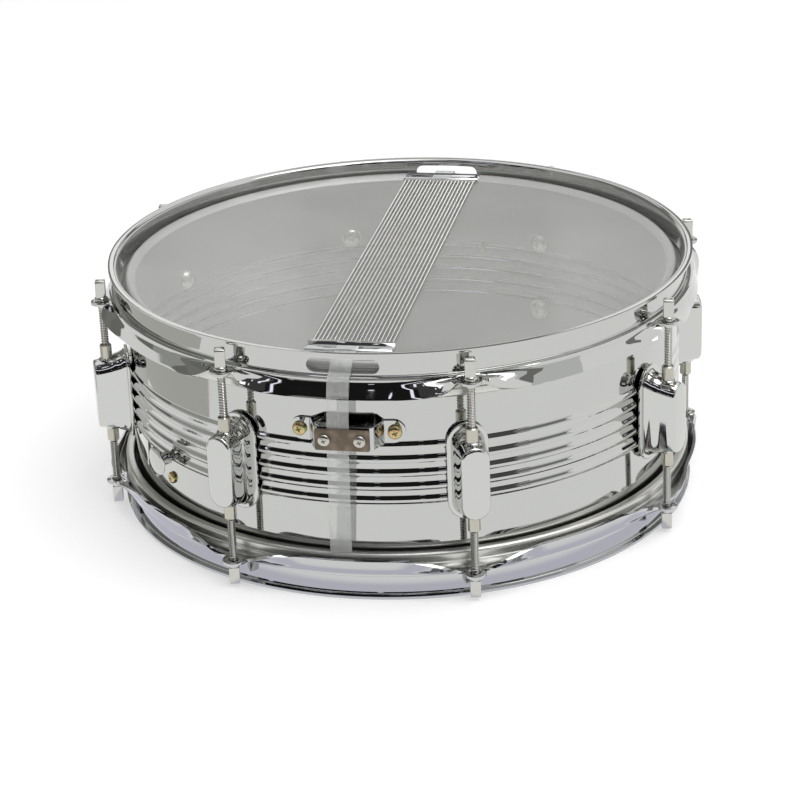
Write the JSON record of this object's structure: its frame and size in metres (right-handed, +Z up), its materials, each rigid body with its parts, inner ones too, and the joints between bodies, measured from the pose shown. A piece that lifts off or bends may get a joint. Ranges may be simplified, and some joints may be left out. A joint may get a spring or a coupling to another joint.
{
  "type": "snare drum",
  "caption": "Chromed steel snare drum with triple-flanged hoops, double-ended lugs, coiled snare wires, throw-off strainer, butt plate and internal muffler.",
  "frame": {"origin": "on the drum's axis, in the plane of the batter hoop's rim, which is the plane it stands on", "axes": "+Z up along the drum's axis, from the batter head to the snare-side head; -Y through the lug nearest the picture's viewer, lugs every 45 degrees from there; the butt plate at -112.5 degrees from +X and the strainer opposite it at 67.5 degrees"},
  "size_m": [0.402, 0.402, 0.157],
  "materials": {
    "chrome": "bright chrome plate on formed steel",
    "cast_chrome": "bright chrome plate on castings",
    "rod_steel": "nickel-plated steel",
    "aluminium": "satin extruded aluminium",
    "zinc_screw": "yellow zinc-plated steel",
    "silver_screw": "plated steel",
    "clamp_metal": "brown-grey plate",
    "clear_film": "clear polyester film",
    "coated_film": "white coated polyester film",
    "strap_plastic": "translucent plastic strip",
    "felt": "pressed felt",
    "black_plastic": "black plastic"
  },
  "bodies": {
    "drum": {"shell": "chrome", "batter_hoop": "chrome", "snare_side_hoop": "chrome", "snare_side_head_film": "clear_film", "snare_side_flesh_hoop": "aluminium", "batter_head_film": "coated_film", "batter_flesh_hoop": "aluminium", "lug_1": "cast_chrome", "lug_2": "cast_chrome", "lug_3": "cast_chrome", "lug_4": "cast_chrome", "lug_5": "cast_chrome", "lug_6": "cast_chrome", "lug_7": "cast_chrome", "lug_8": "cast_chrome", "snare_wires": "rod_steel", "snare_end_plate_butt": "chrome", "snare_end_plate_strainer": "chrome", "butt_plate_bracket": "chrome", "butt_clamp_plate": "clamp_metal", "butt_clamp_screw_left": "silver_screw", "butt_clamp_screw_right": "silver_screw", "butt_mount_screw_left": "zinc_screw", "butt_mount_screw_right": "zinc_screw", "butt_strap": "strap_plastic", "strainer_base": "cast_chrome", "strainer_mount_screw_left": "zinc_screw", "strainer_mount_screw_right": "zinc_screw", "strainer_lever_pin": "rod_steel", "strainer_strap": "strap_plastic", "muffler_bracket": "rod_steel", "muffler_screw": "zinc_screw", "air_vent_grommet": "black_plastic"},
    "strainer_slide": {"strainer_carriage": "cast_chrome", "strainer_clamp_plate": "clamp_metal", "strainer_clamp_screw_left": "silver_screw", "strainer_clamp_screw_right": "silver_screw"},
    "strainer_lever": {"strainer_lever": "chrome"},
    "strainer_tension_knob": {"strainer_tension_knob": "cast_chrome"},
    "muffler_knob": {"muffler_knob": "chrome"},
    "muffler_arm": {"muffler_arm": "rod_steel", "muffler_pad": "felt"},
    "snare_side_tension_rod_1": {"snare_side_tension_rod_1": "rod_steel"},
    "snare_side_tension_rod_2": {"snare_side_tension_rod_2": "rod_steel"},
    "snare_side_tension_rod_3": {"snare_side_tension_rod_3": "rod_steel"},
    "snare_side_tension_rod_4": {"snare_side_tension_rod_4": "rod_steel"},
    "snare_side_tension_rod_5": {"snare_side_tension_rod_5": "rod_steel"},
    "snare_side_tension_rod_6": {"snare_side_tension_rod_6": "rod_steel"},
    "snare_side_tension_rod_7": {"snare_side_tension_rod_7": "rod_steel"},
    "snare_side_tension_rod_8": {"snare_side_tension_rod_8": "rod_steel"},
    "batter_tension_rod_1": {"batter_tension_rod_1": "rod_steel"},
    "batter_tension_rod_2": {"batter_tension_rod_2": "rod_steel"},
    "batter_tension_rod_3": {"batter_tension_rod_3": "rod_steel"},
    "batter_tension_rod_4": {"batter_tension_rod_4": "rod_steel"},
    "batter_tension_rod_5": {"batter_tension_rod_5": "rod_steel"},
    "batter_tension_rod_6": {"batter_tension_rod_6": "rod_steel"},
    "batter_tension_rod_7": {"batter_tension_rod_7": "rod_steel"},
    "batter_tension_rod_8": {"batter_tension_rod_8": "rod_steel"}
  },
  "joints": [
    {"name": "strainer_lever_hinge", "type": "hinge", "parent": "drum", "child": "strainer_lever", "pos_m": [0.07424, 0.17923, 0.074], "axis": [-0.9239, 0.3827, 0], "range_deg": [0, 85]},
    {"name": "strainer_slide", "type": "slide", "parent": "drum", "child": "strainer_slide", "axis": [0, 0, 1], "range_m": [0, 0.0059], "deforming": ["strainer_strap"]},
    {"name": "strainer_tension_screw", "type": "hinge", "parent": "drum", "child": "strainer_tension_knob", "pos_m": [0.07171, 0.17314, 0.059], "axis": [0, 0, 1], "continuous": true},
    {"name": "muffler_knob_turn", "type": "hinge", "parent": "drum", "child": "muffler_knob", "pos_m": [-0.16507, -0.07177, 0.0605], "axis": [-0.9171, -0.3987, 0], "range_deg": [0, 180]},
    {"name": "muffler_arm_hinge", "type": "hinge", "parent": "drum", "child": "muffler_arm", "pos_m": [-0.15058, -0.06547, 0.0503], "axis": [-0.3987, 0.9171, 0], "range_deg": [0, 8.9]},
    {"name": "snare_side_rod_turn_1", "type": "hinge", "parent": "drum", "child": "snare_side_tension_rod_1", "pos_m": [0.192, 0, 0.14], "axis": [0, 0, 1], "continuous": true},
    {"name": "snare_side_rod_turn_2", "type": "hinge", "parent": "drum", "child": "snare_side_tension_rod_2", "pos_m": [0.13576, 0.13576, 0.14], "axis": [0, 0, 1], "continuous": true},
    {"name": "snare_side_rod_turn_3", "type": "hinge", "parent": "drum", "child": "snare_side_tension_rod_3", "pos_m": [0, 0.192, 0.14], "axis": [0, 0, 1], "continuous": true},
    {"name": "snare_side_rod_turn_4", "type": "hinge", "parent": "drum", "child": "snare_side_tension_rod_4", "pos_m": [-0.13576, 0.13576, 0.14], "axis": [0, 0, 1], "continuous": true},
    {"name": "snare_side_rod_turn_5", "type": "hinge", "parent": "drum", "child": "snare_side_tension_rod_5", "pos_m": [-0.192, 0, 0.14], "axis": [0, 0, 1], "continuous": true},
    {"name": "snare_side_rod_turn_6", "type": "hinge", "parent": "drum", "child": "snare_side_tension_rod_6", "pos_m": [-0.13576, -0.13576, 0.14], "axis": [0, 0, 1], "continuous": true},
    {"name": "snare_side_rod_turn_7", "type": "hinge", "parent": "drum", "child": "snare_side_tension_rod_7", "pos_m": [0, -0.192, 0.14], "axis": [0, 0, 1], "continuous": true},
    {"name": "snare_side_rod_turn_8", "type": "hinge", "parent": "drum", "child": "snare_side_tension_rod_8", "pos_m": [0.13576, -0.13576, 0.14], "axis": [0, 0, 1], "continuous": true},
    {"name": "batter_rod_turn_1", "type": "hinge", "parent": "drum", "child": "batter_tension_rod_1", "pos_m": [0.192, 0, 0.017], "axis": [0, 0, 1], "continuous": true},
    {"name": "batter_rod_turn_2", "type": "hinge", "parent": "drum", "child": "batter_tension_rod_2", "pos_m": [0.13576, 0.13576, 0.017], "axis": [0, 0, 1], "continuous": true},
    {"name": "batter_rod_turn_3", "type": "hinge", "parent": "drum", "child": "batter_tension_rod_3", "pos_m": [0, 0.192, 0.017], "axis": [0, 0, 1], "continuous": true},
    {"name": "batter_rod_turn_4", "type": "hinge", "parent": "drum", "child": "batter_tension_rod_4", "pos_m": [-0.13576, 0.13576, 0.017], "axis": [0, 0, 1], "continuous": true},
    {"name": "batter_rod_turn_5", "type": "hinge", "parent": "drum", "child": "batter_tension_rod_5", "pos_m": [-0.192, 0, 0.017], "axis": [0, 0, 1], "continuous": true},
    {"name": "batter_rod_turn_6", "type": "hinge", "parent": "drum", "child": "batter_tension_rod_6", "pos_m": [-0.13576, -0.13576, 0.017], "axis": [0, 0, 1], "continuous": true},
    {"name": "batter_rod_turn_7", "type": "hinge", "parent": "drum", "child": "batter_tension_rod_7", "pos_m": [0, -0.192, 0.017], "axis": [0, 0, 1], "continuous": true},
    {"name": "batter_rod_turn_8", "type": "hinge", "parent": "drum", "child": "batter_tension_rod_8", "pos_m": [0.13576, -0.13576, 0.017], "axis": [0, 0, 1], "continuous": true}
  ],
  "couplings": [
    {"joint": "strainer_lever_hinge", "follows": "strainer_slide", "rad_per_m": 247.5},
    {"joint": "muffler_knob_turn", "follows": "muffler_arm_hinge", "ratio": 20}
  ]
}
